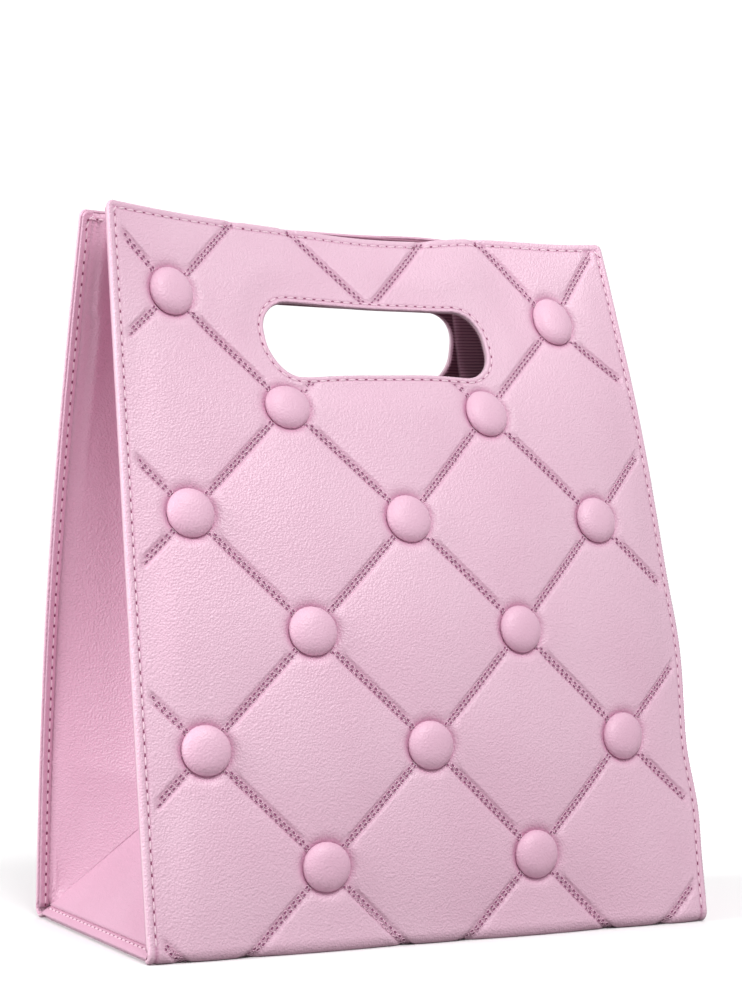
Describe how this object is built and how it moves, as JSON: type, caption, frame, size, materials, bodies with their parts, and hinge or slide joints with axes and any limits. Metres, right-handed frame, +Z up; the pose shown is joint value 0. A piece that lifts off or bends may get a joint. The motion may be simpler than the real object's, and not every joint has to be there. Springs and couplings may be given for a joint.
{
  "type": "tote bag",
  "caption": "Small structured tote bag with diamond-quilted front and back panels, a rounded hand slot in each panel, and side gussets that fold inwards as the mouth closes.",
  "frame": {"origin": "middle of the footprint, on the surface the bag stands on", "axes": "+X to the right seen from the front, front towards -Y, +Z up"},
  "size_m": [0.24, 0.135, 0.2857],
  "materials": {
    "panel_skin": "satin padded faux leather",
    "gusset_skin": "satin faux leather",
    "button_skin": "satin faux leather",
    "board": "raw",
    "lining": "matt ribbed cloth",
    "thread": "sewing thread"
  },
  "bodies": {
    "base": {"base_skin": "panel_skin", "base_board": "board", "base_lining": "lining", "base_gusset_flanges": "gusset_skin"},
    "front": {"front_skin": "panel_skin", "front_board": "board", "front_lining": "lining", "front_gusset_flanges": "gusset_skin", "front_buttons": "button_skin", "front_edge_thread": "thread", "front_slot_thread": "thread"},
    "back": {"back_skin": "panel_skin", "back_board": "board", "back_lining": "lining", "back_gusset_flanges": "gusset_skin", "back_buttons": "button_skin", "back_edge_thread": "thread", "back_slot_thread": "thread"},
    "left_foot": {"left_foot": "gusset_skin", "left_foot_lining": "lining"},
    "left_front_low": {"left_front_low": "gusset_skin", "left_front_low_lining": "lining"},
    "left_front_top": {"left_front_top": "gusset_skin", "left_front_top_lining": "lining"},
    "left_back_low": {"left_back_low": "gusset_skin", "left_back_low_lining": "lining"},
    "left_back_top": {"left_back_top": "gusset_skin", "left_back_top_lining": "lining"},
    "right_foot": {"right_foot": "gusset_skin", "right_foot_lining": "lining"},
    "right_front_low": {"right_front_low": "gusset_skin", "right_front_low_lining": "lining"},
    "right_front_top": {"right_front_top": "gusset_skin", "right_front_top_lining": "lining"},
    "right_back_low": {"right_back_low": "gusset_skin", "right_back_low_lining": "lining"},
    "right_back_top": {"right_back_top": "gusset_skin", "right_back_top_lining": "lining"}
  },
  "joints": [
    {"name": "front_fold", "type": "hinge", "parent": "base", "child": "front", "pos_m": [0, -0.0625, 0.005], "axis": [-1, 0, 0], "range_deg": [-9, 1.5]},
    {"name": "back_fold", "type": "hinge", "parent": "base", "child": "back", "pos_m": [0, 0.0625, 0.005], "axis": [1, 0, 0], "range_deg": [-9.5, 2]},
    {"name": "left_foot_fold", "type": "hinge", "parent": "base", "child": "left_foot", "pos_m": [-0.1145, 0, 0.0046], "axis": [0, 1, 0], "range_deg": [-18.05, 3.22]},
    {"name": "left_front_side_fold", "type": "hinge", "parent": "front", "child": "left_front_low", "pos_m": [-0.1145, -0.06298, 0.0046], "axis": [0, -0.1908, -0.9816], "range_deg": [-18.05, 3.22]},
    {"name": "left_front_slant_fold", "type": "hinge", "parent": "left_front_low", "child": "left_front_top", "pos_m": [-0.1145, -0.00851, 0.28484], "axis": [0.149, 0.0289, -0.9884], "range_deg": [-27.95, 4.87]},
    {"name": "left_back_side_fold", "type": "hinge", "parent": "back", "child": "left_back_low", "pos_m": [-0.1145, 0.06298, 0.0046], "axis": [0, -0.1908, 0.9816], "range_deg": [-18.05, 3.22]},
    {"name": "left_back_slant_fold", "type": "hinge", "parent": "left_back_low", "child": "left_back_top", "pos_m": [-0.1145, 0.00851, 0.28484], "axis": [-0.149, 0.0289, 0.9884], "range_deg": [-27.95, 4.87]},
    {"name": "right_foot_fold", "type": "hinge", "parent": "base", "child": "right_foot", "pos_m": [0.1145, 0, 0.0046], "axis": [0, -1, 0], "range_deg": [-18.05, 3.22]},
    {"name": "right_front_side_fold", "type": "hinge", "parent": "front", "child": "right_front_low", "pos_m": [0.1145, -0.06298, 0.0046], "axis": [0, 0.1908, 0.9816], "range_deg": [-18.05, 3.22]},
    {"name": "right_front_slant_fold", "type": "hinge", "parent": "right_front_low", "child": "right_front_top", "pos_m": [0.1145, -0.00851, 0.28484], "axis": [0.149, -0.0289, 0.9884], "range_deg": [-27.95, 4.87]},
    {"name": "right_back_side_fold", "type": "hinge", "parent": "back", "child": "right_back_low", "pos_m": [0.1145, 0.06298, 0.0046], "axis": [0, 0.1908, -0.9816], "range_deg": [-18.05, 3.22]},
    {"name": "right_back_slant_fold", "type": "hinge", "parent": "right_back_low", "child": "right_back_top", "pos_m": [0.1145, 0.00851, 0.28484], "axis": [-0.149, -0.0289, -0.9884], "range_deg": [-27.95, 4.87]}
  ],
  "couplings": [
    {"joint": "back_fold", "follows": "front_fold", "ratio": 1},
    {"joint": "left_foot_fold", "follows": "front_fold", "ratio": 1.95},
    {"joint": "left_front_side_fold", "follows": "front_fold", "ratio": 1.95},
    {"joint": "left_front_slant_fold", "follows": "front_fold", "ratio": 3.05},
    {"joint": "left_back_side_fold", "follows": "front_fold", "ratio": 1.95},
    {"joint": "left_back_slant_fold", "follows": "front_fold", "ratio": 3.05},
    {"joint": "right_foot_fold", "follows": "front_fold", "ratio": 1.95},
    {"joint": "right_front_side_fold", "follows": "front_fold", "ratio": 1.95},
    {"joint": "right_front_slant_fold", "follows": "front_fold", "ratio": 3.05},
    {"joint": "right_back_side_fold", "follows": "front_fold", "ratio": 1.95},
    {"joint": "right_back_slant_fold", "follows": "front_fold", "ratio": 3.05}
  ]
}
